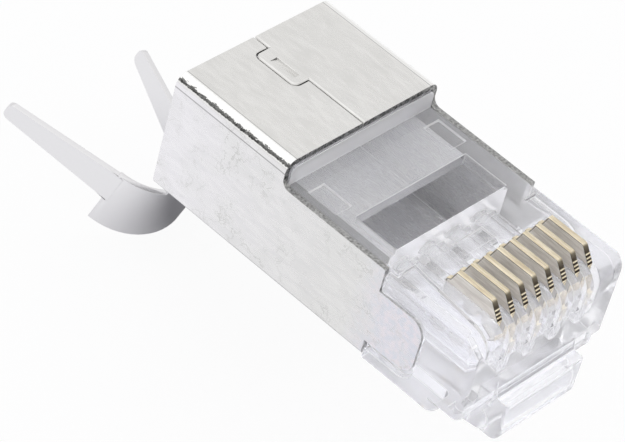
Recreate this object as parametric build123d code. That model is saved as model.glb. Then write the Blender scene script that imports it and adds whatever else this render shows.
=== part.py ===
"""Shielded eight-contact modular plug with a one-piece folded shield, as sold before it is crimped.

Frame: X runs across the plug, +Y from the mating face towards the cable, +Z towards the contact side.
The origin lies on the mating face, midway across, level with the underside of the shield.
All lengths are millimetres and all angles degrees.
"""

import os
from math import cos, degrees, radians, sin, tan

from build123d import *

# Plug body
body_width = 11.68
front_deck_z = 5.82
rear_deck_z = 6.05
body_front_low_z = 0.73
face_top_round = 1.2
face_side_round = 0.4
cheek_edge_round = 0.25
housing_rear_y = 21.3
side_wall = 0.9
floor_wall = 0.7
roof_wall = 0.75

# Shield
sheet = 0.35
shield_top_z = 7.53
shield_front_y = 6.52
shield_rear_y = 21.77
top_panel_front_y = 13.81
side_plate_top_z = 6.02
top_bend_radius = 0.7
bottom_bend_radius = 0.45
lip_round = 0.5
fit_gap = 0.02
edge_gap = 0.1
rim_stand = 0.14
overlap = 0.5
past_face = 1.0

# Grounding ears at the front of the shield's sides
ear_front_y = 3.38
ear_low_z = 1.1
ear_high_z = 4.56
ear_round = 0.9
ear_pocket_drop = 0.45

# Interlocked seam across the shield's top
seam_gap = 0.06
seam_x = -0.1
key_left_x = -1.2
key_front_y = 17.75
key_rear_y = 20.8
key_round = 0.45
seam_edge_break = 0.08
lance_left_x = -0.88
lance_right_x = -0.28
lance_front_y = 18.3
lance_rear_y = 19.93
lance_depth = 0.2

# Contacts and the slots that hold them
contact_count = 8
pitch = 1.016
blade_thickness = 0.35
slot_clearance = 0.02
blade_top_z = 6.93
crest_front_y = 1.42
crest_rear_y = 3.82
blade_front_y = 0.75
blade_rear_y = 4.3
blade_nose_drop = 0.93
blade_nose_round = 0.25
rear_step_z = 6.3
rear_step_run = 0.25
rear_step_fall = 0.1
upper_point_z = 4.25
lower_point_z = 3.15
prong_count = 3
prong_gap = 0.3
prong_height = 0.95
prong_point = 0.4
slot_mouth_z = 3.65
slot_ramp = 0.35
cheek_front_width = 0.84
cheek_rear_width = 1.64

# Conductor channels
channel_diameter = 0.95
upper_channel_z = 3.7
lower_channel_z = 2.6
channel_front_y = 0.75
channel_rear_y = 7.23
channel_funnel = 0.16
channel_funnel_depth = 0.2
channel_tip_share = 0.4
channel_cone_share = 0.6

# Window over the cable space, gate pad and roof pockets
window_half_width = 4.25
window_rear_y = 10.07
gate_left_x = -1.54
gate_right_x = 0.77
gate_front_y = 4.93
gate_rear_y = 5.85
gate_depth = 0.1
pocket_inner_x = 3.85
pocket_outer_x = 5.02
pocket_front_y = 10.75
pocket_rear_y = 12.7
pocket_depth = 0.08
sleeve_roof_round = 0.1
sleeve_corner_ease = 0.05

# Rails, latch recess and latch root
rail_inner_x = 3.4
rail_front_y = 1.54
rail_end_round = 0.5
shoulder_half_width = 4.9
shoulder_low_z = 0.25
shoulder_depth = 1.0
root_half_width = 3.08
root_front_y = -1.0
root_ledge_y = -0.26
root_ledge_z = 1.0
root_slope_top_z = 2.0
root_low_z = -1.67
root_nose_round = 0.6
root_rear_y = 0.45
root_corner_round = 0.2

# Latch
hinge_y = 0.55
knuckle_radius = 0.7
knuckle_clearance = 0.05
latch_slope = 10.0
arm_thickness = 1.1
arm_length = 7.7
arm_thinning = 0.15
arm_shoulder_run = 1.2
tongue_length = 13.85
tongue_half_width = 1.6
tongue_thickness = 0.95
tongue_tip_round = 0.6
grip_ridge_count = 3
grip_ridge_pitch = 0.9
grip_ridge_radius = 0.16
grip_ridge_inset = 0.3
knuckle_inset = 0.01

# Crimp tail, bent down out of the way of the cable
tail_angle = 70.6
tail_bend_radius = 0.5
tail_corner_y = 21.51
tail_length = 9.1
neck_half_width = 2.0
neck_relief = 0.25
saddle_side_inset = 1.97
saddle_half_angle = 72.7
saddle_length = 4.4
arm_base_width = 2.25
arm_tip_width = 1.15
arm_side_inset = 0.05
arm_tip_round = 0.4
near_arm_start = 2.05
far_arm_start = 0.1
neck_flat_radius = 400.0

# Derived sizes
half_width = body_width / 2
sleeve_half_width = half_width - sheet - fit_gap
sleeve_low_z = sheet + fit_gap
sleeve_top_z = shield_top_z - sheet - fit_gap
sleeve_front_y = shield_front_y - edge_gap
cavity_half_width = sleeve_half_width - side_wall
cavity_low_z = sleeve_low_z + floor_wall
sleeve_low_round = bottom_bend_radius - sheet + sleeve_corner_ease
sleeve_top_round = top_bend_radius - sheet + sleeve_corner_ease
slot_width = blade_thickness + 2 * slot_clearance
field_front_half_width = half_width - cheek_front_width
field_rear_half_width = half_width - cheek_rear_width
hinge_z = root_low_z + knuckle_radius + knuckle_inset
tail_setback = tail_bend_radius * tan(radians(tail_angle) / 2)
tail_bend_start_y = tail_corner_y - tail_setback
saddle_radius = half_width - saddle_side_inset
arm_run_x = half_width - arm_side_inset - saddle_radius * sin(radians(saddle_half_angle))
arm_reach = arm_run_x / cos(radians(saddle_half_angle))
contact_x = [(number - (contact_count - 1) / 2) * pitch for number in range(contact_count)]


def block(x0, x1, y0, y1, z0, z1):
    """Box between two corners."""
    size = Box(x1 - x0, y1 - y0, z1 - z0)
    return Pos((x0 + x1) / 2, (y0 + y1) / 2, (z0 + z1) / 2) * size


def side_profile(points, half, centre_x=0.0):
    """Closed outline of (y, z) points, extruded to both sides of centre_x."""
    outline = make_face(Polyline(*points, close=True))
    return Pos(centre_x, 0, 0) * extrude(Plane.YZ * outline, amount=half, both=True)


def rounded_tube_profile(half, low, high, low_round, high_round):
    """Front view (x, z) of a box section with its own corner radius at the bottom and at the top."""
    outline = Polyline((-half, low), (half, low), (half, high), (-half, high), close=True)
    face = make_face(outline)
    corners = face.vertices().group_by(Axis.Y)
    face = fillet(corners[0], low_round)
    return fillet(face.vertices().group_by(Axis.Y)[-1], high_round)


def along_plug(face, y0, y1):
    """Extrudes a front-view face from y0 to y1."""
    front_view = Plane(origin=(0, y0, 0), x_dir=(1, 0, 0), z_dir=(0, -1, 0))
    return extrude(front_view * face, amount=-(y1 - y0))


def point_z(number):
    """Height of a contact's points: contacts alternate between the upper and lower channel rows."""
    return upper_point_z if number % 2 == 0 else lower_point_z


def channel_z(number):
    return upper_channel_z if number % 2 == 0 else lower_channel_z


def ear_outline(grow_front, grow_high, grow_low, rear_y):
    """Grounding ear seen from the side as a face in (y, z), with rounded front corners."""
    front = ear_front_y - grow_front
    low = ear_low_z - grow_low
    high = ear_high_z + grow_high
    face = make_face(Polyline((front, low), (rear_y, low), (rear_y, high), (front, high), close=True))
    return fillet(face.vertices().group_by(Axis.X)[0], ear_round)


def nose_block(top_z):
    """Front of the housing up to a given height, as a side view with its upper front corner rounded."""
    side = make_face(Polyline(
        (0, body_front_low_z), (sleeve_front_y, body_front_low_z),
        (sleeve_front_y, top_z), (0, top_z), close=True))
    nose_corner = side.vertices().group_by(Axis.X)[0].sort_by(Axis.Y)[-1]
    side = fillet(nose_corner, face_top_round)
    return extrude(Plane.YZ * side, amount=half_width, both=True)


def front_block():
    """Full-width front of the housing: side, top and front outlines cut to each other."""
    body = nose_block(front_deck_z)

    above = make_face(Polyline(
        (-half_width, 0), (half_width, 0), (half_width, sleeve_front_y), (-half_width, sleeve_front_y),
        close=True))
    above = fillet(above.vertices().group_by(Axis.Y)[0], face_side_round)
    body = body & extrude(above, amount=front_deck_z)

    front = rounded_tube_profile(
        half_width, 0, front_deck_z, cheek_edge_round, cheek_edge_round)
    return body & along_plug(front, 0, sleeve_front_y)


def contact_field():
    """Raised middle of the front block, level with the rear deck, that widens towards the mating face."""
    above = make_face(Polyline(
        (-field_front_half_width, 0), (field_front_half_width, 0), (field_rear_half_width, sleeve_front_y),
        (-field_rear_half_width, sleeve_front_y), close=True))
    return nose_block(rear_deck_z) & extrude(above, amount=rear_deck_z)


def rails():
    """Two runners under the front block, one on each side of the latch recess, with rounded front ends."""
    pair = []
    for side in (-1, 1):
        runner = block(
            min(side * rail_inner_x, side * half_width), max(side * rail_inner_x, side * half_width),
            rail_front_y, sleeve_front_y, 0, body_front_low_z + cheek_edge_round + fit_gap)
        front_edges = runner.edges().filter_by(Axis.Z).group_by(Axis.Y)[0]
        runner = fillet(front_edges, rail_end_round)
        pair.append(runner)
    return pair


def latch_root():
    """Block under the mating face that carries the latch, with a round seat for the latch's knuckle."""
    nose_centre_y = root_front_y + root_nose_round
    nose_centre_z = root_low_z + root_nose_round
    on_arc = root_nose_round * sin(radians(45))
    outline = (
        Polyline(
            (nose_centre_y, root_low_z), (root_rear_y, root_low_z), (root_rear_y, body_front_low_z),
            (2 * root_rear_y, body_front_low_z), (2 * root_rear_y, root_slope_top_z),
            (0, root_slope_top_z), (root_ledge_y, root_ledge_z), (root_front_y, root_ledge_z),
            (root_front_y, nose_centre_z))
        + ThreePointArc(
            (root_front_y, nose_centre_z), (nose_centre_y - on_arc, nose_centre_z - on_arc),
            (nose_centre_y, root_low_z)))
    root = extrude(Plane.YZ * make_face(outline), amount=root_half_width, both=True)
    front_corners = root.edges().filter_by(Axis.Z).group_by(Axis.Y)[0]
    root = fillet(front_corners, root_corner_round)
    seat = Pos(0, hinge_y, hinge_z) * Rot(0, 90, 0) * Cylinder(
        knuckle_radius + knuckle_clearance, 2 * (root_half_width + past_face))
    return root - seat


def contact_slot(number):
    """Slot for one contact: open to the deck and to the mating face, and down into its channel."""
    point_floor = channel_z(number)
    return side_profile([
        (-past_face, slot_mouth_z), (blade_front_y - slot_clearance, slot_mouth_z + slot_ramp),
        (blade_front_y - slot_clearance, point_floor), (blade_rear_y + slot_clearance, point_floor),
        (blade_rear_y + slot_clearance, rear_deck_z + past_face), (-past_face, rear_deck_z + past_face),
    ], slot_width / 2, contact_x[number])


def channel(number):
    """Round hole for one conductor, with a funnel at its mouth and a cone at its blind end."""
    radius = channel_diameter / 2
    y0 = channel_front_y
    y1 = channel_rear_y
    half_section = make_face(Polyline(
        (0, y0), (radius * channel_tip_share, y0), (radius, y0 + radius * channel_cone_share),
        (radius, y1 - channel_funnel_depth), (radius + channel_funnel, y1),
        (radius + channel_funnel, y1 + past_face), (0, y1 + past_face), close=True))
    hole = revolve(half_section, Axis.Y)
    return Pos(contact_x[number], 0, channel_z(number)) * hole


def housing():
    """Clear body: front block with channels and slots, and a hollow sleeve that the shield closes round."""
    body = front_block() + contact_field()
    for runner in rails():
        body += runner
    body += block(-shoulder_half_width, shoulder_half_width, 0, shoulder_depth,
                  shoulder_low_z, body_front_low_z + overlap)
    body += latch_root()

    low_sleeve = rounded_tube_profile(
        sleeve_half_width, sleeve_low_z, rear_deck_z, sleeve_low_round, sleeve_roof_round)
    body += along_plug(low_sleeve, sleeve_front_y - overlap, top_panel_front_y + overlap)
    high_sleeve = rounded_tube_profile(
        sleeve_half_width, sleeve_low_z, sleeve_top_z, sleeve_low_round, sleeve_top_round)
    body += along_plug(high_sleeve, top_panel_front_y - rim_stand, housing_rear_y)

    for side in (-1, 1):
        pocket = extrude(
            Plane.YZ * ear_outline(edge_gap, edge_gap, ear_pocket_drop, sleeve_front_y + past_face),
            amount=sheet + fit_gap + past_face)
        if side > 0:
            body -= Pos(sleeve_half_width, 0, 0) * pocket
        else:
            body -= Pos(-half_width - past_face, 0, 0) * pocket
        x_pair = sorted((side * pocket_inner_x, side * pocket_outer_x))
        body -= block(x_pair[0], x_pair[1], pocket_front_y, pocket_rear_y,
                      rear_deck_z - pocket_depth, rear_deck_z + past_face)

    body -= block(-cavity_half_width, cavity_half_width, channel_rear_y, top_panel_front_y + roof_wall,
                  cavity_low_z, rear_deck_z - roof_wall)
    body -= block(-cavity_half_width, cavity_half_width, top_panel_front_y - rim_stand + roof_wall,
                  housing_rear_y + past_face, cavity_low_z, sleeve_top_z - roof_wall)
    body -= block(-window_half_width, window_half_width, channel_rear_y, window_rear_y,
                  cavity_low_z + overlap, rear_deck_z + past_face)

    body -= block(gate_left_x, gate_right_x, gate_front_y, gate_rear_y,
                  rear_deck_z - gate_depth, rear_deck_z + past_face)

    for number in range(contact_count):
        body -= contact_slot(number)
        body -= channel(number)
    return body


def contact(number):
    """Blade contact: flat crest, sloping nose, rear step and three points that pierce the conductor."""
    low = point_z(number)
    crotch = low + prong_height
    prong_width = (blade_rear_y - blade_front_y - (prong_count - 1) * prong_gap) / prong_count
    outline = make_face(Polyline(
        (crest_front_y, blade_top_z), (crest_rear_y, blade_top_z),
        (crest_rear_y + rear_step_run, rear_step_z), (blade_rear_y, rear_step_z - rear_step_fall),
        (blade_rear_y, crotch), (blade_front_y, crotch), (blade_front_y, blade_top_z - blade_nose_drop),
        close=True))
    nose_corner = outline.vertices().group_by(Axis.Y)[-1].sort_by(Axis.X)[0]
    outline = fillet(nose_corner, blade_nose_round)
    blade = extrude(Plane.YZ * outline, amount=blade_thickness / 2, both=True)
    for prong in range(prong_count):
        start = blade_front_y + prong * (prong_width + prong_gap)
        blade += side_profile([
            (start, crotch + overlap), (start + prong_width, crotch + overlap),
            (start + prong_width, low + prong_point), (start + prong_width / 2, low),
            (start, low + prong_point),
        ], blade_thickness / 2)
    return Pos(contact_x[number], 0, 0) * blade


def latch_tab():
    """Latch: a knuckle at the root, a wide arm up to the locking shoulders and a narrow finger tongue."""
    to_hinge = Pos(0, hinge_y, hinge_z) * Rot(-latch_slope, 0, 0)
    knuckle = Rot(0, 90, 0) * Cylinder(knuckle_radius, 2 * root_half_width)
    arm_top = arm_thickness - knuckle_radius
    arm = side_profile([
        (0, -knuckle_radius), (arm_length, -knuckle_radius + arm_thinning), (arm_length, arm_top),
        (arm_shoulder_run, arm_top), (0, knuckle_radius),
    ], root_half_width)
    tongue_low = arm_top - tongue_thickness
    tongue = side_profile([
        (arm_length - overlap, tongue_low), (tongue_length, tongue_low),
        (tongue_length, arm_top), (arm_length - overlap, arm_top),
    ], tongue_half_width)
    tip_edges = tongue.edges().filter_by(Axis.Z).group_by(Axis.Y)[-1]
    tongue = fillet(tip_edges, tongue_tip_round)
    latch = knuckle + arm + tongue
    for ridge in range(grip_ridge_count):
        ridge_y = tongue_length - (ridge + 1) * grip_ridge_pitch
        latch += Pos(0, ridge_y, tongue_low) * Rot(0, 90, 0) * Cylinder(
            grip_ridge_radius, 2 * (tongue_half_width - grip_ridge_inset))
    return to_hinge * latch


def seam_cut():
    """Narrow gap of the interlocked seam, seen from above: two straight runs and three sides of the key."""
    key_middle_y = (key_front_y + key_rear_y) / 2
    key = make_face(Polyline(
        (key_left_x, key_front_y), (seam_x + past_face, key_front_y), (seam_x + past_face, key_rear_y),
        (key_left_x, key_rear_y), close=True))
    outer = fillet(key.vertices(), key_round)
    inner = offset(outer, -seam_gap, kind=Kind.ARC)
    ring = outer - inner
    ring -= Pos(seam_x + half_width / 2, key_middle_y) * Rectangle(half_width, half_width)
    front_run = Pos(seam_x, (top_panel_front_y + key_front_y) / 2) * Rectangle(
        seam_gap, key_front_y - top_panel_front_y + seam_gap)
    rear_run = Pos(seam_x, (key_rear_y + shield_rear_y) / 2) * Rectangle(
        seam_gap, shield_rear_y - key_rear_y + seam_gap)
    return Pos(0, 0, sleeve_top_z) * extrude(ring + front_run + rear_run, amount=past_face)


def key_lance():
    """Small tongue pressed down out of the key: a wedge that is deepest along its right side."""
    front_view = make_face(Polyline(
        (lance_left_x, shield_top_z), (lance_right_x, shield_top_z - lance_depth),
        (lance_right_x, shield_top_z + past_face), (lance_left_x, shield_top_z + past_face), close=True))
    return along_plug(front_view, lance_front_y, lance_rear_y)


def shield_box():
    """Folded case: floor, two sides and a top that meets in the seam, open at both ends."""
    outer = rounded_tube_profile(half_width, 0, shield_top_z, bottom_bend_radius, top_bend_radius)
    inner = rounded_tube_profile(
        half_width - sheet, sheet, shield_top_z - sheet, bottom_bend_radius - sheet,
        top_bend_radius - sheet)
    case = along_plug(outer - inner, shield_front_y, shield_rear_y)

    open_deck = make_face(Polyline(
        (shield_front_y - past_face, side_plate_top_z), (top_panel_front_y, side_plate_top_z),
        (top_panel_front_y, shield_top_z + past_face),
        (shield_front_y - past_face, shield_top_z + past_face), close=True))
    lip_corner = open_deck.vertices().group_by(Axis.X)[-1].sort_by(Axis.Y)[0]
    open_deck = fillet(lip_corner, lip_round)
    case -= extrude(Plane.YZ * open_deck, amount=half_width + past_face, both=True)

    for side in (-1, 1):
        ear = extrude(Plane.YZ * ear_outline(0, 0, 0, shield_front_y + overlap), amount=sheet)
        case += Pos(half_width - sheet if side > 0 else -half_width, 0, 0) * ear

    case -= seam_cut()
    top_edges = case.edges().group_by(Axis.Z)[-1]
    seam_edges = [
        edge for edge in top_edges
        if abs(edge.center().X - seam_x) < half_width / 3
        and top_panel_front_y + edge_gap < edge.center().Y < shield_rear_y - edge_gap]
    case = chamfer(seam_edges, seam_edge_break)
    return case - key_lance()


def saddle_section(half_angle, thickness, radius):
    """Arc strip seen along the cable: centred on the origin, hollow side up."""
    inner = radius - thickness

    def on(r, angle):
        return (r * sin(radians(angle)), -r * cos(radians(angle)))

    outline = (
        ThreePointArc(on(radius, -half_angle), on(radius, 0), on(radius, half_angle))
        + Line(on(radius, half_angle), on(inner, half_angle))
        + ThreePointArc(on(inner, half_angle), on(inner, 0), on(inner, -half_angle))
        + Line(on(inner, -half_angle), on(radius, -half_angle)))
    return make_face(outline)


def tail():
    """One-piece crimp tail: neck bent down from the floor, saddle for the cable and two wrap-round arms."""
    down = radians(tail_angle)
    along = Vector(0, cos(down), -sin(down))
    above = Vector(0, sin(down), cos(down))
    free_end = Vector(0, tail_corner_y, 0) + along * tail_length
    axis_end = free_end + above * saddle_radius

    strip = make_face(Polyline(
        (-neck_half_width, 0), (neck_half_width, 0), (neck_half_width, sheet), (-neck_half_width, sheet),
        close=True))
    bend_plane = Plane(origin=(0, tail_bend_start_y, 0), x_dir=(1, 0, 0), z_dir=(0, -1, 0))
    bend = revolve(
        bend_plane * strip,
        Axis((0, tail_bend_start_y, -tail_bend_radius), (1, 0, 0)), -tail_angle)
    bend_end = Vector(0, tail_corner_y, 0) + along * tail_setback

    def section_plane(distance):
        """Plane across the cable at a distance back from the free end, centred on the cable's axis."""
        return Plane(origin=axis_end - along * distance, x_dir=(1, 0, 0), z_dir=-along)

    saddle = extrude(
        section_plane(0) * saddle_section(saddle_half_angle, sheet, saddle_radius), amount=saddle_length)

    neck_angle = degrees(neck_half_width / saddle_radius)
    flat_angle = degrees(neck_half_width / neck_flat_radius)
    flat_plane = Plane(origin=bend_end + above * neck_flat_radius, x_dir=(1, 0, 0), z_dir=-along)
    flat_section = flat_plane * saddle_section(flat_angle, sheet, neck_flat_radius)
    round_section = section_plane(saddle_length) * saddle_section(neck_angle, sheet, saddle_radius)
    neck = loft([round_section, flat_section])

    pieces = bend + neck + saddle
    for side, start in ((-1, near_arm_start), (1, far_arm_start)):
        pieces += wrap_arm(side, start, axis_end, along, above)
    return pieces


def wrap_arm(side, start, axis_end, along, above):
    """Straight arm that leaves the saddle's rim tangentially and tapers to a rounded tip."""
    rim = radians(saddle_half_angle)
    radial = Vector(side * sin(rim), 0, 0) - above * cos(rim)
    rising = Vector(side * cos(rim), 0, 0) + above * sin(rim)
    foot = axis_end + radial * (saddle_radius - sheet) - along * start
    plane = Plane(origin=foot, x_dir=rising, z_dir=radial)
    neckward = 1 if plane.y_dir.dot(-along) > 0 else -1
    outline = make_face(Polyline(
        (-sheet, 0), (arm_reach, 0), (arm_reach, neckward * arm_tip_width),
        (0, neckward * arm_base_width), (-sheet, neckward * arm_base_width), close=True))
    outline = fillet(outline.vertices().group_by(Axis.X)[-1], arm_tip_round)
    return extrude(plane * outline, amount=sheet)


def shield():
    """Whole shield as one folded sheet, with relief cuts beside the tail's neck."""
    case = shield_box()
    relief_half_width = neck_half_width + neck_relief
    case -= block(-relief_half_width, relief_half_width, tail_bend_start_y, shield_rear_y + past_face,
                  -past_face, sheet + fit_gap)
    return case + tail()


parts = {
    "housing": housing(),
    "latch_tab": latch_tab(),
    "shield": shield(),
}
for number in range(contact_count):
    parts[f"contact_{number + 1}"] = contact(number)

os.makedirs("parts", exist_ok=True)
for name, shape in parts.items():
    export_step(shape, f"parts/{name}.step")
    print(name, "solids", len(shape.solids()), "volume", round(shape.volume, 3))
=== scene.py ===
# %% [markdown]
# # Dressing a shielded network plug
#
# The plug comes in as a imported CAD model: a clear moulded housing with its latch, a folded metal shield
# with a crimp tail, and eight stamped contacts. This lesson keeps every size of that model and works on
# what the eye reads first: rounded edges, clear plastic, plated sheet and gold. Lengths are metres and
# the frame is the CAD model's own, so nothing here has to be fitted or moved.

# %% Load the frame
from math import radians

import bmesh
import bpy
import numpy as np
from mathutils import Matrix, Vector


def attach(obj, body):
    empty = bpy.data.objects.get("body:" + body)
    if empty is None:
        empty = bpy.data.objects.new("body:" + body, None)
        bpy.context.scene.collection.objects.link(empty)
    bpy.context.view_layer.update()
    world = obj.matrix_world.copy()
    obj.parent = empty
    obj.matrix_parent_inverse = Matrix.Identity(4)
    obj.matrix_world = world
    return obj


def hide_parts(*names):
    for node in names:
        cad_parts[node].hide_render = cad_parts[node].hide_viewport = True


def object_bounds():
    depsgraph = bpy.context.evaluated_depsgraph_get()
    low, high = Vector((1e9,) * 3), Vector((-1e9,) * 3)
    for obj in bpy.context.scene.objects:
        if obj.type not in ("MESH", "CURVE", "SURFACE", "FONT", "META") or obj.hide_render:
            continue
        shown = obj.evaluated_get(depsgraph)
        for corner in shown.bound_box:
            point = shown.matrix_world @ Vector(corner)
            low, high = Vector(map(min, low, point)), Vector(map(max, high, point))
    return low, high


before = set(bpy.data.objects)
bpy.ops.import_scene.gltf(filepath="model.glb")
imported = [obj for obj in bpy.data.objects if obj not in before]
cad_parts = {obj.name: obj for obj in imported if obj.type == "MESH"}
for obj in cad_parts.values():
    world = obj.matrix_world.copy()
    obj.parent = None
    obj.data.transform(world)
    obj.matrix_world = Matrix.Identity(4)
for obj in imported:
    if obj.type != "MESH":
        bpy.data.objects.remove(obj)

MM = 0.001
cad_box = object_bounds()
scene = bpy.context.scene
print("CAD box in mm:", [[round(c / MM, 2) for c in corner] for corner in cad_box])

# %% [markdown]
# ## Small helpers for node trees
#
# A shader is a graph, and a lesson full of bare link calls is hard to read. One helper makes a node, sets
# its sockets and joins it to the nodes before it. Another starts an empty material for it to fill.

# %% Node helpers
def node(tree, kind, inputs=None, **settings):
    """Adds one shader node, sets its own settings, then gives constants or links to its inputs."""
    made = tree.nodes.new(kind)
    for name, value in settings.items():
        setattr(made, name, value)
    for key, value in (inputs or {}).items():
        if isinstance(value, bpy.types.NodeSocket):
            tree.links.new(value, made.inputs[key])
        else:
            made.inputs[key].default_value = value
    return made


def new_material(name):
    """An empty node material with only its output node."""
    material = bpy.data.materials.new(name)
    material.use_nodes = True
    tree = material.node_tree
    tree.nodes.clear()
    return material, tree, node(tree, "ShaderNodeOutputMaterial")


# %% [markdown]
# ## An effect shared by several finishes: grain
#
# Rolled and plated sheet, stamped contacts and even moulded plastic are never perfectly even. The grain is
# a fine noise stretched along the direction in which the part was rolled or drawn, and the smudge is a
# broad noise that says where handling has dulled it. Both live in one node group, so that each material
# can turn, stretch and scale them for itself. It puts out two masks and a height, all of which change over
# the surface.

# %% Grain group
def grain_group():
    """Mask = stretched contrast of fine noise on turned coordinates; smudge = the same of broad noise."""
    group = bpy.data.node_groups.new("surface_grain", "ShaderNodeTree")
    sockets = (("Scale", "NodeSocketFloat", 2000.0), ("Stretch", "NodeSocketVector", (1, 1, 1)),
               ("Turn", "NodeSocketVector", (0, 0, 0)), ("Detail", "NodeSocketFloat", 5.0),
               ("Patch Scale", "NodeSocketFloat", 300.0))
    for name, kind, default in sockets:
        group.interface.new_socket(name=name, in_out="INPUT", socket_type=kind).default_value = default
    for name in ("Mask", "Smudge", "Height"):
        group.interface.new_socket(name=name, in_out="OUTPUT", socket_type="NodeSocketFloat")
    start = group.nodes.new("NodeGroupInput")
    end = group.nodes.new("NodeGroupOutput")
    place = node(group, "ShaderNodeTexCoord").outputs["Object"]
    turned = node(group, "ShaderNodeMapping", {
        "Vector": place, "Rotation": start.outputs["Turn"], "Scale": start.outputs["Stretch"]})
    fine = node(group, "ShaderNodeTexNoise", {
        "Vector": turned.outputs[0], "Scale": start.outputs["Scale"], "Detail": start.outputs["Detail"],
        "Roughness": 0.62})
    broad = node(group, "ShaderNodeTexNoise", {
        "Vector": place, "Scale": start.outputs["Patch Scale"], "Detail": 3.0, "Roughness": 0.55})
    mask = node(group, "ShaderNodeMapRange", {
        "Value": fine.outputs["Fac"], "From Min": 0.36, "From Max": 0.64})
    smudge = node(group, "ShaderNodeMapRange", {
        "Value": broad.outputs["Fac"], "From Min": 0.42, "From Max": 0.62})
    for source, name in ((mask, "Mask"), (smudge, "Smudge"), (fine, "Height")):
        group.links.new(source.outputs[0], end.inputs[name])
    return group


GRAIN = grain_group()
print("Shared group:", GRAIN.name)


def grain(tree, scale, stretch=(1, 1, 1), turn=(0, 0, 0), detail=5.0, patch=300.0):
    """Places the grain group in a material with its own values and gives its outputs."""
    placed = tree.nodes.new("ShaderNodeGroup")
    placed.node_tree = GRAIN
    values = {"Scale": scale, "Stretch": stretch, "Turn": turn, "Detail": detail, "Patch Scale": patch}
    for name, value in values.items():
        placed.inputs[name].default_value = value
    return placed.outputs


def blend(tree, factor, low, high):
    """Colour between low and high by the factor; each is a constant or another node's colour."""
    return node(tree, "ShaderNodeMix", {0: factor, 6: low, 7: high}, data_type="RGBA").outputs[2]


def ramp(tree, value, start, end, low=0.0, high=1.0):
    """Straight rise from low at start to high at end, held level outside; start may be above end."""
    return node(tree, "ShaderNodeMapRange", {
        "Value": value, "From Min": start, "From Max": end, "To Min": low, "To Max": high}).outputs[0]


def maths(tree, operation, first, second=0.0):
    """One Math node; each input is a number or another node's value."""
    return node(tree, "ShaderNodeMath", {0: first, 1: second}, operation=operation).outputs[0]


def place_of(tree):
    """X, Y and Z of the shaded point in the object's own frame, in metres."""
    return node(tree, "ShaderNodeSeparateXYZ", {0: node(tree, "ShaderNodeTexCoord").outputs["Object"]}).outputs


# %% [markdown]
# ## Plated sheet
#
# The shield is thin sheet with a nickel skin, tumbled with thousands of others before packing. It mirrors
# its surroundings softly, and the top has fine strokes. Its tones are painted reflection: the top a warmer
# grey, the sides a cooler, cleaner grey, lighter and bluer to the rear. Inside it is painted darker as shade.
# Along the two long folds the skin was stretched over the press tool, and the stretched skin is glossier and
# broken up like orange peel. The tool left a crease where each fold starts and ends, and a dark line is
# painted there as shade. The fold itself is painted near white as a highlight. On the real plug it mirrors
# something dark as a ragged line. Here the material paints that dark reflection by its place on the fold,
# so that it is there from every side. One metallic shader does all of it, and the coordinates say where a
# fold is. Each pair below is where a ramp starts and where it ends.

# %% Places on the folded sheet
BEND_X, BEND_Z = 5.14 * MM, 6.83 * MM
BESIDE_BEND, ABOVE_BEND = (-0.02 * MM, 0.03 * MM), (-0.03 * MM, 0.02 * MM)
SIDE_X, TOP_Z, INSIDE_Z = (5.6 * MM, 5.8 * MM), (7.40 * MM, 7.45 * MM), (6.7 * MM, 6.5 * MM)
FRONT_Y, EAR_Y = (22 * MM, 10 * MM), (8 * MM, 6 * MM)
TAIL_Z = (-0.2 * MM, -0.9 * MM)
CREASE_WIDTH = (0.05 * MM, 0.02 * MM)
DARK_REFLECTION_STARTS, DARK_REFLECTION_ENDS = (radians(39), radians(42)), (radians(58), radians(56))
FOLD_HIGHLIGHT_ENDS = (radians(60), radians(66))


def fold_masks(tree):
    """Side plate; fold = outside the bend's centres; painted shade on its two borders; angle = atan2(out, rise).
    """
    place = place_of(tree)
    aside = maths(tree, "ABSOLUTE", place["X"])
    out, rise = (maths(tree, "SUBTRACT", a, b) for a, b in ((aside, BEND_X), (place["Z"], BEND_Z)))
    side = ramp(tree, aside, *SIDE_X)
    fold = maths(tree, "MULTIPLY", ramp(tree, out, *BESIDE_BEND), ramp(tree, rise, *ABOVE_BEND))
    start_line = ramp(tree, maths(tree, "ABSOLUTE", out), *CREASE_WIDTH)
    end_line = ramp(tree, maths(tree, "ABSOLUTE", rise), *CREASE_WIDTH)
    on_top = maths(tree, "MULTIPLY", start_line, ramp(tree, place["Z"], *TOP_Z))
    on_side = maths(tree, "MULTIPLY", end_line, side)
    return side, fold, maths(tree, "MAXIMUM", on_top, on_side), maths(tree, "ARCTAN2", out, rise)


# %% Plated sheet
# Painted reflection tones: the top warmer, the sides cooler, and lighter and bluer to the rear than to the front;
# the two ends of each pair follow the scuff grain.
TOP_GREY = (0.78, 0.775, 0.765, 1), (0.87, 0.865, 0.855, 1)
REAR_GREY = (0.84, 0.83, 0.865, 1), (0.885, 0.875, 0.905, 1)
FRONT_GREY = (0.745, 0.74, 0.74, 1), (0.795, 0.79, 0.785, 1)
EAR_FILM = (0.72, 0.73, 0.80, 1), (0.80, 0.76, 0.81, 1)
HANDLED, DRIED = (0.73, 0.735, 0.725, 1), (0.55, 0.55, 0.54, 1)
# The inside colour is painted shade in the shield; the tail's grey is even.
INSIDE_PAINTED_SHADE, TAIL_GREY = (0.63, 0.625, 0.61, 1), (0.81, 0.805, 0.825, 1)
# The crease colour is painted shade on the crease lines; the stretched colour is a painted fold highlight.
CREASE_PAINTED_SHADE, FOLD_PAINTED_HIGHLIGHT = (0.16, 0.16, 0.16, 1), (0.97, 0.97, 0.965, 1)
# Painted dark reflection: the ragged dark line on each fold.
FOLD_PAINTED_DARK_REFLECTION = (0.02, 0.02, 0.02, 1), (0.28, 0.28, 0.275, 1)


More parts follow.
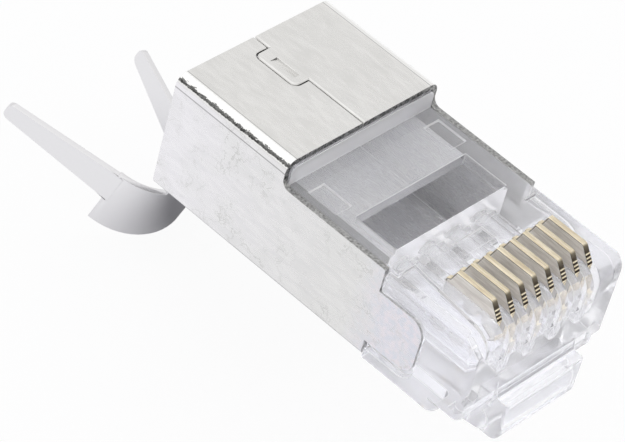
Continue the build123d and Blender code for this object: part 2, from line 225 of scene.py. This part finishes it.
def sheet_colour(tree, side, tail, scuff):
    """Painted reflection tones: warm grey on top, cooler and lighter to the rear of the sides.
    Blue and pink on the ears, even on the tail, painted shade inside.
    """
    place = place_of(tree)
    top = blend(tree, scuff["Mask"], *TOP_GREY)
    rear = blend(tree, scuff["Mask"], *REAR_GREY)
    front = blend(tree, scuff["Mask"], *FRONT_GREY)
    plate = blend(tree, ramp(tree, place["Y"], *FRONT_Y), rear, front)
    oily = grain(tree, 2600.0, detail=1.0)
    film = blend(tree, oily["Mask"], *EAR_FILM)
    plate = blend(tree, ramp(tree, place["Y"], *EAR_Y), plate, film)
    swirl = grain(tree, 650.0, detail=6.0)
    tide = ramp(tree, maths(tree, "ABSOLUTE", maths(tree, "SUBTRACT", swirl["Height"], 0.5)), 0.02, 0.0)
    dried = maths(tree, "MULTIPLY", tide, maths(tree, "MULTIPLY", scuff["Smudge"], 0.7))
    plate = blend(tree, maths(tree, "MULTIPLY", scuff["Smudge"], 0.35), plate, HANDLED)
    plate = blend(tree, dried, plate, DRIED)
    not_side = maths(tree, "SUBTRACT", 1.0, side)
    # Painted shade: the sheet off the side plates and below the fold is darker.
    inside = maths(tree, "MULTIPLY", ramp(tree, place["Z"], *INSIDE_Z), not_side)
    top = blend(tree, inside, top, INSIDE_PAINTED_SHADE)
    face = blend(tree, side, top, plate)
    return blend(tree, tail, face, TAIL_GREY)


def plated_sheet():
    """Nickel-coloured metal; colour, roughness and normal follow the grain. Painted shade on the creases,
    a painted highlight on each fold and a painted dark reflection line along it.
    """
    material, tree, out = new_material("plated_sheet")
    side, fold, crease_shade, angle = fold_masks(tree)
    tail = ramp(tree, place_of(tree)["Z"], *TAIL_Z)
    scuff = grain(tree, 3000.0, stretch=(1.0, 0.25, 1.0), turn=(0, 0, radians(20)), patch=420.0)
    peel = grain(tree, 6500.0, detail=4.0)
    streak = grain(tree, 9000.0, stretch=(1.0, 0.45, 1.0), detail=5.0)
    # Painted dark reflection: a ragged line on the fold, its edges wandering with the grain.
    wander = maths(tree, "ADD", angle, ramp(tree, streak["Height"], 0.3, 0.7, radians(-10), radians(10)))
    below = maths(tree, "ADD", angle, ramp(tree, peel["Height"], 0.3, 0.7, radians(-3), radians(3)))
    dark_reflection_line = maths(tree, "MULTIPLY", ramp(tree, wander, *DARK_REFLECTION_STARTS), ramp(tree, below, *DARK_REFLECTION_ENDS))
    dark_reflection_line = maths(tree, "MULTIPLY", dark_reflection_line, fold)
    face = sheet_colour(tree, side, tail, scuff)
    # Painted shade: a dark line along each crease where a fold starts and ends.
    with_crease_shade = blend(tree, maths(tree, "MULTIPLY", crease_shade, 0.6), face, CREASE_PAINTED_SHADE)
    # Painted highlight: the fold is near white out to where the highlight ends.
    stretched = blend(tree, fold, with_crease_shade, FOLD_PAINTED_HIGHLIGHT)
    stretched = blend(tree, ramp(tree, angle, *FOLD_HIGHLIGHT_ENDS), stretched, with_crease_shade)
    dark_reflection_colour = blend(tree, streak["Mask"], *FOLD_PAINTED_DARK_REFLECTION)
    colour = blend(tree, dark_reflection_line, stretched, dark_reflection_colour)
    satin = ramp(tree, scuff["Mask"], 0.0, 1.0, 0.30, 0.24)
    satin = blend(tree, tail, satin, (0.34, 0.34, 0.34, 1))
    roughness = blend(tree, fold, satin, (0.09, 0.09, 0.09, 1))
    peel_height = maths(tree, "MULTIPLY", fold, peel["Height"])
    scuff_height = maths(tree, "MULTIPLY", maths(tree, "SUBTRACT", 1.0, tail), scuff["Height"])
    fine = node(tree, "ShaderNodeBump", {"Height": scuff_height, "Strength": 0.15, "Distance": 0.00002})
    bump = node(tree, "ShaderNodeBump", {
        "Height": peel_height, "Strength": 0.5, "Distance": 0.00003, "Normal": fine.outputs[0]})
    shader = node(tree, "ShaderNodeBsdfPrincipled", {
        "Base Color": colour, "Roughness": roughness, "Metallic": 1.0, "Normal": bump.outputs[0]})
    tree.links.new(shader.outputs[0], out.inputs["Surface"])
    return material


# %% [markdown]
# ## Sheared edge
#
# Where the press cut the sheet, the skin is gone and the metal is torn rather than smooth, so an edge
# looks darker and streakier than the face beside it. It is a material of its own on those faces.

# %% Sheared edge
def sheared_edge():
    """Darker, rougher metal with streaks across the sheet's thickness."""
    material, tree, out = new_material("sheared_edge")
    streak = grain(tree, 7000.0, detail=3.0)
    torn = blend(tree, streak["Mask"], (0.02, 0.02, 0.02, 1), (0.38, 0.38, 0.375, 1))
    smooth = blend(tree, streak["Mask"], (0.42, 0.42, 0.42, 1), (0.68, 0.68, 0.68, 1))
    colour = blend(tree, ramp(tree, place_of(tree)["Z"], 6.4 * MM, 5.6 * MM), torn, smooth)
    bump = node(tree, "ShaderNodeBump", {"Height": streak["Height"], "Strength": 0.4, "Distance": 0.00004})
    shader = node(tree, "ShaderNodeBsdfPrincipled", {
        "Base Color": colour, "Roughness": 0.35, "Metallic": 1.0, "Normal": bump.outputs[0]})
    tree.links.new(shader.outputs[0], out.inputs["Surface"])
    return material


# %% [markdown]
# ## Clear polycarbonate
#
# The housing and latch are clear polycarbonate. Its real refractive index is about 1.58, but with that
# value light is trapped between the thin walls and the block turns dark grey, where the real one looks
# milky and bright. So the outer faces bend light less than the real plastic does, the inner walls next to
# none, and a small share of the light is scattered. Moulded edges and the sleeve's end face have a finish
# of their own, frosted whiter, which paints bright highlight lines along them. Transmission stays a plain
# number, and shadow rays pass, so that light reaches the metal behind.

# %% Clear polycarbonate
def clear_plastic(name, index, clearness, roughness):
    """Refracting plastic with a faint lavender tint, a little haze and a very shallow mould waviness."""
    material, tree, out = new_material(name)
    wave = grain(tree, 500.0, detail=0.0, patch=200.0)
    tint = blend(tree, wave["Smudge"], (0.965, 0.967, 1.0, 1), (0.983, 0.982, 1.0, 1))
    bump = node(tree, "ShaderNodeBump", {"Height": wave["Height"], "Strength": 0.1, "Distance": 0.00003})
    shader = node(tree, "ShaderNodeBsdfPrincipled", {
        "Base Color": tint, "Roughness": roughness, "IOR": index, "Metallic": 0.0,
        "Transmission Weight": clearness, "Normal": bump.outputs[0]})
    passing = node(tree, "ShaderNodeBsdfTransparent", {"Color": (1, 1, 1, 1)})
    shadow = node(tree, "ShaderNodeLightPath").outputs["Is Shadow Ray"]
    mix = node(tree, "ShaderNodeMixShader", {0: shadow, 1: shader.outputs[0], 2: passing.outputs[0]})
    tree.links.new(mix.outputs[0], out.inputs["Surface"])
    return material


# %% [markdown]
# ## Gold contact
#
# A contact is stamped from bronze strip, and pale gold covers the crest and nose that touch the jack. Its
# flat sides show the strip itself, greyer and duller, with its drawing lines, and are painted darker as
# shade where they go into the plastic. Three attributes on the mesh say where: rim is 1 on the rounded
# edge, step is 1 on the narrow line beside it, painted near black as shade, and a third is high between
# the nose's ridges, where a dark reflection is painted.

# %% Gold contact
def gold_contact():
    """Gold on the rim, grey-brown strip on the sides; painted shade low on the sides and on the step line,
    and a painted dark reflection between the nose's ridges.
    """
    material, tree, out = new_material("gold_contact")
    rim = node(tree, "ShaderNodeAttribute", attribute_name="rim").outputs["Fac"]
    drawn = grain(tree, 5200.0, stretch=(1.0, 0.12, 1.0), patch=600.0)
    gold = blend(tree, drawn["Mask"], (0.70, 0.60, 0.43, 1), (0.92, 0.84, 0.66, 1))
    side = blend(tree, drawn["Mask"], (0.68, 0.64, 0.59, 1), (0.95, 0.91, 0.86, 1))
    # Painted shade: the sides are darker where they go down into the plastic.
    buried_shade = ramp(tree, place_of(tree)["Z"], 5.95 * MM, 5.6 * MM)
    side = blend(tree, buried_shade, side, (0.66, 0.64, 0.59, 1))
    colour = blend(tree, rim, side, gold)
    # Painted shade: the narrow step line beside the rim is near black.
    step = node(tree, "ShaderNodeAttribute", attribute_name="step").outputs["Fac"]
    colour = blend(tree, step, colour, (0.05, 0.045, 0.04, 1))
    # Painted dark reflection between the nose's ridges.
    hollow = node(tree, "ShaderNodeAttribute", attribute_name="hollow").outputs["Fac"]
    colour = blend(tree, hollow, colour, (0.035, 0.025, 0.018, 1))
    roughness = ramp(tree, rim, 0.0, 1.0, 0.40, 0.16)
    metallic = ramp(tree, rim, 0.0, 1.0, 0.30, 1.0)
    bump = node(tree, "ShaderNodeBump", {"Height": drawn["Height"], "Strength": 0.25, "Distance": 0.00002})
    shader = node(tree, "ShaderNodeBsdfPrincipled", {
        "Base Color": colour, "Roughness": roughness, "Metallic": metallic, "Normal": bump.outputs[0]})
    tree.links.new(shader.outputs[0], out.inputs["Surface"])
    return material


SHEET = plated_sheet()
SHEARED = sheared_edge()
PLASTIC = clear_plastic("clear_polycarbonate", index=1.40, clearness=0.78, roughness=0.04)
INNER_WALL = clear_plastic("cored_inner_wall", index=1.12, clearness=0.78, roughness=0.06)
# The edge finish is frosted whiter, which paints bright highlight lines along the edges.
FROSTED_EDGE_HIGHLIGHT = clear_plastic("frosted_edge_highlight", index=1.46, clearness=0.45, roughness=0.25)
GOLD = gold_contact()
print("Materials:", [m.name for m in (SHEET, SHEARED, PLASTIC, INNER_WALL, FROSTED_EDGE_HIGHLIGHT, GOLD)])

# %% [markdown]
# ## Rounded copies of the moulded and folded parts
#
# A CAD body arrives as loose triangles with knife edges. Real mouldings and plated sheet have small radii,
# and those radii catch the light. The copy joins the loose corners, melts the flat triangles into whole
# faces, and a bevel then rounds each edge by a few hundredths of a millimetre. The CAD body itself stays
# as it is, hidden.

# %% Rounded copy
def rounded_copy(node_name, piece_name, radius, weld, material, body):
    """Copy of a CAD node: corners nearer than the weld joined, edges over 30 degrees rounded by the radius."""
    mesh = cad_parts[node_name].data.copy()
    mesh.name = piece_name
    shape = bmesh.new()
    shape.from_mesh(mesh)
    bmesh.ops.remove_doubles(shape, verts=shape.verts, dist=weld)
    bmesh.ops.dissolve_limit(shape, angle_limit=radians(0.6), verts=shape.verts, edges=shape.edges)
    loose = sum(len(edge.link_faces) != 2 for edge in shape.edges)
    shape.to_mesh(mesh)
    shape.free()
    if "custom_normal" in mesh.attributes:
        mesh.attributes.remove(mesh.attributes["custom_normal"])
    mesh.materials.clear()
    mesh.materials.append(material)
    mesh.polygons.foreach_set("material_index", np.zeros(len(mesh.polygons), dtype=np.int32))
    mesh.polygons.foreach_set("use_smooth", np.ones(len(mesh.polygons), dtype=bool))
    piece = bpy.data.objects.new(piece_name, mesh)
    scene.collection.objects.link(piece)
    bevel = piece.modifiers.new("edge_radius", "BEVEL")
    bevel.width = radius
    bevel.segments = 2
    bevel.limit_method = "ANGLE"
    bevel.angle_limit = radians(30)
    bevel.use_clamp_overlap = False
    flatten = piece.modifiers.new("flat_faces_stay_flat", "WEIGHTED_NORMAL")
    flatten.mode = "FACE_AREA"
    flatten.weight = 50
    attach(piece, body)
    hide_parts(node_name)
    print(piece_name, "faces before the bevel:", len(mesh.polygons), "open edges:", loose)
    return piece


MOULD_WELD, SHEET_WELD = 0.002 * MM, 0.02 * MM
housing = rounded_copy(
    "housing", "housing_clear", 0.04 * MM, MOULD_WELD, PLASTIC, "plug_body")
latch = rounded_copy(
    "latch_tab", "latch_clear", 0.06 * MM, MOULD_WELD, PLASTIC, "latch")
shield = rounded_copy(
    "shield", "shield_folded", 0.03 * MM, SHEET_WELD, SHEET, "plug_body")

# %% [markdown]
# ## Faces with a finish of their own
#
# One moulding or one sheet can need several finishes: sheared metal on the cut faces of the shield, inner
# walls in the housing's block, and frosted edges on everything that was moulded, a painted highlight.
# Separate pieces would need a seam, so the faces are told apart by where they are and which way they
# point, and each gets its own material slot on the same mesh.

# %% Telling faces apart
def face_places(mesh):
    """Each face's normal and its centre in mm, as two arrays."""
    count = len(mesh.polygons)
    normals = np.empty(count * 3, dtype=np.float32)
    centres = np.empty(count * 3, dtype=np.float32)
    mesh.polygons.foreach_get("normal", normals)
    mesh.polygons.foreach_get("center", centres)
    return normals.reshape(-1, 3), centres.reshape(-1, 3) / MM


def finish_faces(piece, chosen, *materials):
    """Adds the materials after the piece's first; chosen holds 0, 1, 2 for each face."""
    for material in materials:
        piece.data.materials.append(material)
    piece.data.polygons.foreach_set("material_index", chosen.astype(np.int32))
    piece.data.update()
    print(piece.name, "faces in each finish:", np.bincount(chosen.astype(int)).tolist())


def between(values, low, high):
    """True where low < value < high."""
    return (values > low) & (values < high)


# %% Cut faces of the shield
SIDE_RIM_X, SIDE_RIM_Z = 5.49, (0.6, 6.8)
normals, centres = face_places(shield.data)
across, along = np.abs(normals[:, 0]), np.abs(normals[:, 1])
x, y, z = centres.T
side_rim = (np.abs(x) > SIDE_RIM_X) & (across < 0.2) & between(z, *SIDE_RIM_Z)
finish_faces(shield, ((along > 0.95) | side_rim) & (z > 0), SHEARED)

# %% Walls and edges of the mouldings
BLOCK_X, BLOCK_Y, BLOCK_Z = 4.8, (0.05, 7.2), (1.0, 5.7)
SLEEVE_END_Y, SLEEVE_END_Z = 8.5, 6.1
normals, centres = face_places(housing.data)
x, y, z = centres.T
inside_block = (np.abs(x) < BLOCK_X) & between(y, *BLOCK_Y) & between(z, *BLOCK_Z)
sleeve_end = (normals[:, 1] < -0.7) & (y > SLEEVE_END_Y) & (z > SLEEVE_END_Z)
finish_faces(housing, np.where(sleeve_end, 2, inside_block), INNER_WALL, FROSTED_EDGE_HIGHLIGHT)
finish_faces(latch, np.zeros(len(latch.data.polygons)), INNER_WALL, FROSTED_EDGE_HIGHLIGHT)
# Bevel faces take the frosted finish, a painted highlight line along each edge.
for piece in (housing, latch):
    piece.modifiers["edge_radius"].material = 2

# %% [markdown]
# ## Contacts as stamped blades
#
# A contact is a flat blade with a rounded rim. The shape is a profile carried along a path: the path is
# the blade's outline, and the profile is the quarter-round at each side of the rim. Every ring of points
# is the outline moved inwards by the profile's inset and sideways by its reach, so the whole blade is
# worked out as one array of rings. The nose carries three low ridges across it, and a narrow step runs
# along each side below the rim.

# %% Blade outline
FRONT, BACK, TOP = 0.75, 4.3, 6.93
CREST = (1.42, 3.82)
NOSE_DROP, NOSE_ROUND = 0.93, 0.25
PRONGS, GAP, CROTCH_RISE, POINT_RISE = 3, 0.3, 0.95, 0.4
RIDGES, RIDGE_WIDTH, RIDGE_HEIGHT = np.array([0.17, 0.36, 0.57]), 0.03, 0.016
THICKNESS, RIM, STEP, STEP_DEPTH = 0.35, 0.03, 0.035, 0.01


def nose(swing):
    """Straight slope with narrow ridges, each a bell curve along it, then an arc into the crest."""
    foot, corner = np.array([FRONT, TOP - NOSE_DROP]), np.array([CREST[0], TOP])
    slope = (corner - foot) / np.linalg.norm(corner - foot)
    turn = np.arccos(slope[0])
    end = corner - slope * NOSE_ROUND * np.tan(turn / 2)
    u = np.linspace(0, 1, 81)[:, None]
    ridges = np.exp(-((u - RIDGES) / RIDGE_WIDTH) ** 2).sum(axis=1, keepdims=True)
    line = foot + u * (end - foot) + np.array([-slope[1], slope[0]]) * swing * ridges
    centre = corner + [NOSE_ROUND * np.tan(turn / 2), -NOSE_ROUND]
    angle = np.pi / 2 + turn * np.linspace(1, 0, 8)[1:]
    arc = centre + NOSE_ROUND * np.stack([np.cos(angle), np.sin(angle)], axis=1)
    return np.concatenate([line, arc])


def blade_outline(low, swing):
    """Outline (y, z) in mm, running round once: nose, crest, rear step, back and three points."""
    width = (BACK - FRONT - (PRONGS - 1) * GAP) / PRONGS
    starts = FRONT + np.arange(PRONGS)[::-1] * (width + GAP)
    crotch, shoulder = low + CROTCH_RISE, low + POINT_RISE
    prongs = np.concatenate([
        [[s + width, crotch], [s + width, shoulder], [s + width / 2, low], [s, shoulder], [s, crotch]]
        for s in starts])
    step = [[CREST[1], TOP], [4.07, 6.3], [BACK, 6.2]]
    return np.concatenate([nose(swing), step, prongs])


def hollow_share(count):
    """Painted dark reflection per outline edge: 1 between ridges, 0 on one, easing off to the crest; 0 elsewhere.
    """
    u = (np.arange(80)[:, None] + 0.5) / 80
    ridges = np.exp(-((u - RIDGES) / (1.2 * RIDGE_WIDTH)) ** 2).sum(axis=1)
    share = np.clip(1 - 1.6 * ridges, 0, 1) * np.interp(u[:, 0], [0.6, 1.0], [1.0, 0.8])
    rest = np.zeros(count)
    rest[:80] = share
    rest[80:84] = [0.7, 0.5, 0.3, 0.1]
    return rest


def mitres(outline):
    """Outward mitre at each corner: the sum of its two edges' normals, scaled to move both edges by one."""
    ahead = np.roll(outline, -1, axis=0) - outline
    ahead /= np.linalg.norm(ahead, axis=1, keepdims=True)
    normals = np.stack([-ahead[:, 1], ahead[:, 0]], axis=1)
    mitre = normals + np.roll(normals, 1, axis=0)
    return mitre / np.sum(mitre * normals, axis=1, keepdims=True)


def blade_mesh(name, centre_x, low):
    """Rings of the outline: a quarter-round rim at each side, then a narrow step down to the flat side."""
    plain, ridged = blade_outline(low, 0.0), blade_outline(low, RIDGE_HEIGHT)
    angle = np.linspace(0, np.pi / 2, 4)
    inset = np.concatenate([[RIM + STEP, RIM + STEP], RIM * (1 - np.sin(angle))])
    reach = THICKNESS / 2 - np.concatenate([[STEP_DEPTH, STEP_DEPTH], RIM * (1 - np.cos(angle))])
    ridge_share = np.concatenate([[0, 0], np.sin(angle)])
    inset[0] += 0.02
    inset, ridge_share = (np.concatenate([a, a[::-1]]) for a in (inset, ridge_share))
    side = np.concatenate([-reach, reach[::-1]])
    rings, count = len(inset), len(plain)
    flat = plain[None] + ridge_share[:, None, None] * (ridged - plain)[None]
    flat = flat - inset[:, None, None] * mitres(plain)[None]
    across = np.broadcast_to(side[:, None, None], (rings, count, 1)) + centre_x
    verts = np.concatenate([across, flat], axis=2)
    k, i = np.meshgrid(np.arange(rings - 1), np.arange(count), indexing="ij")
    j = (i + 1) % count
    quads = np.stack([k * count + i, k * count + j, (k + 1) * count + j, (k + 1) * count + i], axis=-1)
    first_side = [list(range(count))[::-1]]
    last_side = [list(range((rings - 1) * count, rings * count))]
    faces = first_side + quads.reshape(-1, 4).tolist() + last_side
    mesh = bpy.data.meshes.new(name)
    mesh.from_pydata((verts.reshape(-1, 3) * MM).tolist(), [], faces)
    band = np.concatenate([[0], k.reshape(-1), [0]])
    values = {"rim": (band >= 2) & (band <= rings - 4), "step": (band == 1) | (band == rings - 3)}
    values["step"][[0, -1]] = False
    # The nose's painted dark reflection, per face, on the rim only.
    along = np.concatenate([[1.0], np.tile(hollow_share(count), rings - 1), [1.0]])
    values["hollow"] = np.where(values["rim"], along, 0.0)
    for attribute, mask in values.items():
        mesh.attributes.new(attribute, "FLOAT", "FACE").data.foreach_set("value", mask.astype(np.float32))
    mesh.polygons.foreach_set("use_smooth", values["rim"])
    mesh.set_sharp_from_angle(angle=radians(35))
    return mesh


# %% Eight contacts
PITCH, UPPER_ROW_LOW, LOWER_ROW_LOW = 1.016, 4.25, 3.15
contacts = []
for number in range(8):
    name = f"contact_blade_{number + 1}"
    low = UPPER_ROW_LOW if number % 2 == 0 else LOWER_ROW_LOW
    mesh = blade_mesh(name, (number - 3.5) * PITCH, low)
    mesh.materials.append(GOLD)
    blade = bpy.data.objects.new(name, mesh)
    scene.collection.objects.link(blade)
    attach(blade, "plug_body")
    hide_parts(f"contact_{number + 1}")
    contacts.append(blade)
print("Contacts:", len(contacts), "faces each:", len(contacts[0].data.polygons))

# %% [markdown]
# ## Floor and surroundings
#
# The plug lies in a bright light tent. Its picture shows a white ground with next to no shadow, and the
# metal shows what the tent looks like: a bright ceiling, a little darker towards the horizon. The world is
# that tent, kept near a strength of 1 so that each colour renders about as it is written. For camera and
# refracted rays it is plain white.

# %% Who looks
def sees_white(tree):
    """1 for the camera and for any ray that has passed through plastic, whatever it did afterwards; else 0."""
    path = node(tree, "ShaderNodeLightPath").outputs
    through_plastic = maths(tree, "GREATER_THAN", path["Transmission Depth"], 0.5)
    return maths(tree, "MAXIMUM", path["Is Camera Ray"], through_plastic)


# %% World
TENT_LEVELS = ((0.0, 0.90), (0.30, 0.84), (0.60, 0.84), (0.70, 0.89), (0.80, 1.0), (1.0, 0.98))


def light_tent():
    """Brightness by the ray's height: a little darker at the horizon, brightest in the roof."""
    world = bpy.data.worlds.new("light_tent")
    world.use_nodes = True
    tree = world.node_tree
    tree.nodes.clear()
    part = node(tree, "ShaderNodeSeparateXYZ", {0: node(tree, "ShaderNodeTexCoord").outputs["Generated"]}).outputs
    heights = node(tree, "ShaderNodeValToRGB", {"Fac": part["Z"]})
    while len(heights.color_ramp.elements) < len(TENT_LEVELS):
        heights.color_ramp.elements.new(0.5)
    for element, (place, level) in zip(heights.color_ramp.elements, TENT_LEVELS):
        element.position = place
        element.color = (level, level * 0.995, level * 0.985, 1)
    tent = node(tree, "ShaderNodeBackground", {"Color": heights.outputs["Color"], "Strength": 1.0})
    white = node(tree, "ShaderNodeBackground", {"Color": (1, 1, 1, 1), "Strength": 1.0})
    mix = node(tree, "ShaderNodeMixShader", {0: sees_white(tree), 1: tent.outputs[0], 2: white.outputs[0]})
    out = node(tree, "ShaderNodeOutputWorld")
    tree.links.new(mix.outputs[0], out.inputs["Surface"])
    return world


scene.world = light_tent()
print("Tent levels from horizon to roof:", [level for place, level in TENT_LEVELS])

# %% [markdown]
# ## Floor
#
# The floor is pale paper. To the camera, through the plastic and in the metal it is close to white, and it
# still takes the plug's soft shadow. Mirrored in the metal just above it, the paper under the plug carries
# painted deep shade, an ellipse that only mirrors see, which is what darkens the underside of the saddle.

# %% Floor
SHADE_CENTRE = (-4.0 * MM, -17.0 * MM, 0.0)
SHADE_REACH = (1 / (11 * MM), 1 / (17 * MM), 0.0)
WHITE_SHARE = 0.92


def pale_floor():
    """Paper that emits most of its white; in a mirror it carries painted shade inside an ellipse under the plug.
    """
    material, tree, out = new_material("pale_floor")
    centred = node(tree, "ShaderNodeMapping", {
        "Vector": node(tree, "ShaderNodeTexCoord").outputs["Object"], "Location": SHADE_CENTRE})
    shape = node(tree, "ShaderNodeVectorMath", {
        0: centred.outputs[0], 1: SHADE_REACH}, operation="MULTIPLY")
    away = node(tree, "ShaderNodeVectorMath", {0: shape.outputs[0]}, operation="LENGTH").outputs["Value"]
    mirror = node(tree, "ShaderNodeLightPath").outputs["Is Glossy Ray"]
    # Painted shade: the paper is darker under the plug, for mirrored rays only.
    shade = maths(tree, "MULTIPLY", ramp(tree, away, 1.1, 0.5), mirror)
    tone = blend(tree, shade, (0.92, 0.92, 0.96, 1), (0.36, 0.36, 0.38, 1))
    paper = node(tree, "ShaderNodeBsdfDiffuse", {"Color": tone})
    white = node(tree, "ShaderNodeEmission", {"Color": (1, 1, 1, 1), "Strength": 1.0})
    mirrored_white = maths(tree, "SUBTRACT", mirror, shade)
    seen_white = maths(tree, "MAXIMUM", sees_white(tree), mirrored_white)
    share = maths(tree, "MULTIPLY", seen_white, WHITE_SHARE)
    mix = node(tree, "ShaderNodeMixShader", {0: share, 1: paper.outputs[0], 2: white.outputs[0]})
    tree.links.new(mix.outputs[0], out.inputs["Surface"])
    return material


floor_z = cad_box[0][2] - 0.1 * MM
half = 3.0
square = ((-half, -half), (half, -half), (half, half), (-half, half))
corners = np.array([[x, y, floor_z] for x, y in square])
floor_mesh = bpy.data.meshes.new("floor")
floor_mesh.from_pydata(corners.tolist(), [], [[0, 1, 2, 3]])
floor_mesh.materials.append(pale_floor())
floor = bpy.data.objects.new("floor", floor_mesh)
scene.collection.objects.link(floor)
print("Floor at z in mm:", round(floor_z / MM, 2))

# %% [markdown]
# ## Light and camera
#
# One large soft lamp overhead adds a little direction to the tent's even light. A small strong lamp would
# show in the plated top as a burnt-out patch, so this one is wide and weak. The camera stands where
# the photograph was taken from: its place, aim, tilt and lens were worked out from the plug's own straight
# edges, whose real lengths are known.

# %% Lamp
LAMP_SIDES, LAMP_POWER, LAMP_PLACE = (0.60, 0.50), 0.10, (-0.10, 0.12, 0.34)
lamp_data = bpy.data.lights.new("soft_overhead", "AREA")
lamp_data.shape = "RECTANGLE"
lamp_data.size, lamp_data.size_y = LAMP_SIDES
lamp_data.energy = LAMP_POWER
lamp = bpy.data.objects.new("soft_overhead", lamp_data)
scene.collection.objects.link(lamp)
lamp.location = LAMP_PLACE
aim = Vector((0, 0.012, 0.0)) - lamp.location
lamp.rotation_mode = "QUATERNION"
lamp.rotation_quaternion = aim.to_track_quat("-Z", "Y")
print("Lamp power in W:", LAMP_POWER, "sides in m:", LAMP_SIDES)

# %% Camera
LENS, TILT = 203.25, radians(15.874)
CAMERA_PLACE = Vector((-117.434, -61.030, 122.158)) * MM
CAMERA_AIM = Vector((-8.0898, 10.0, 7.8315)) * MM
camera_data = bpy.data.cameras.new("camera")
camera_data.lens = LENS
camera_data.sensor_width = 36.0
camera_data.clip_start = 0.01
camera_data.clip_end = 20.0
camera = bpy.data.objects.new("camera", camera_data)
scene.collection.objects.link(camera)
line = CAMERA_AIM - CAMERA_PLACE
turn = line.to_track_quat("-Z", "Y").to_matrix().to_4x4()
camera.matrix_world = Matrix.Translation(CAMERA_PLACE) @ turn @ Matrix.Rotation(TILT, 4, "Z")
scene.camera = camera
scene.view_settings.view_transform = "Standard"
print("Camera distance in mm:", round(line.length / MM, 1))
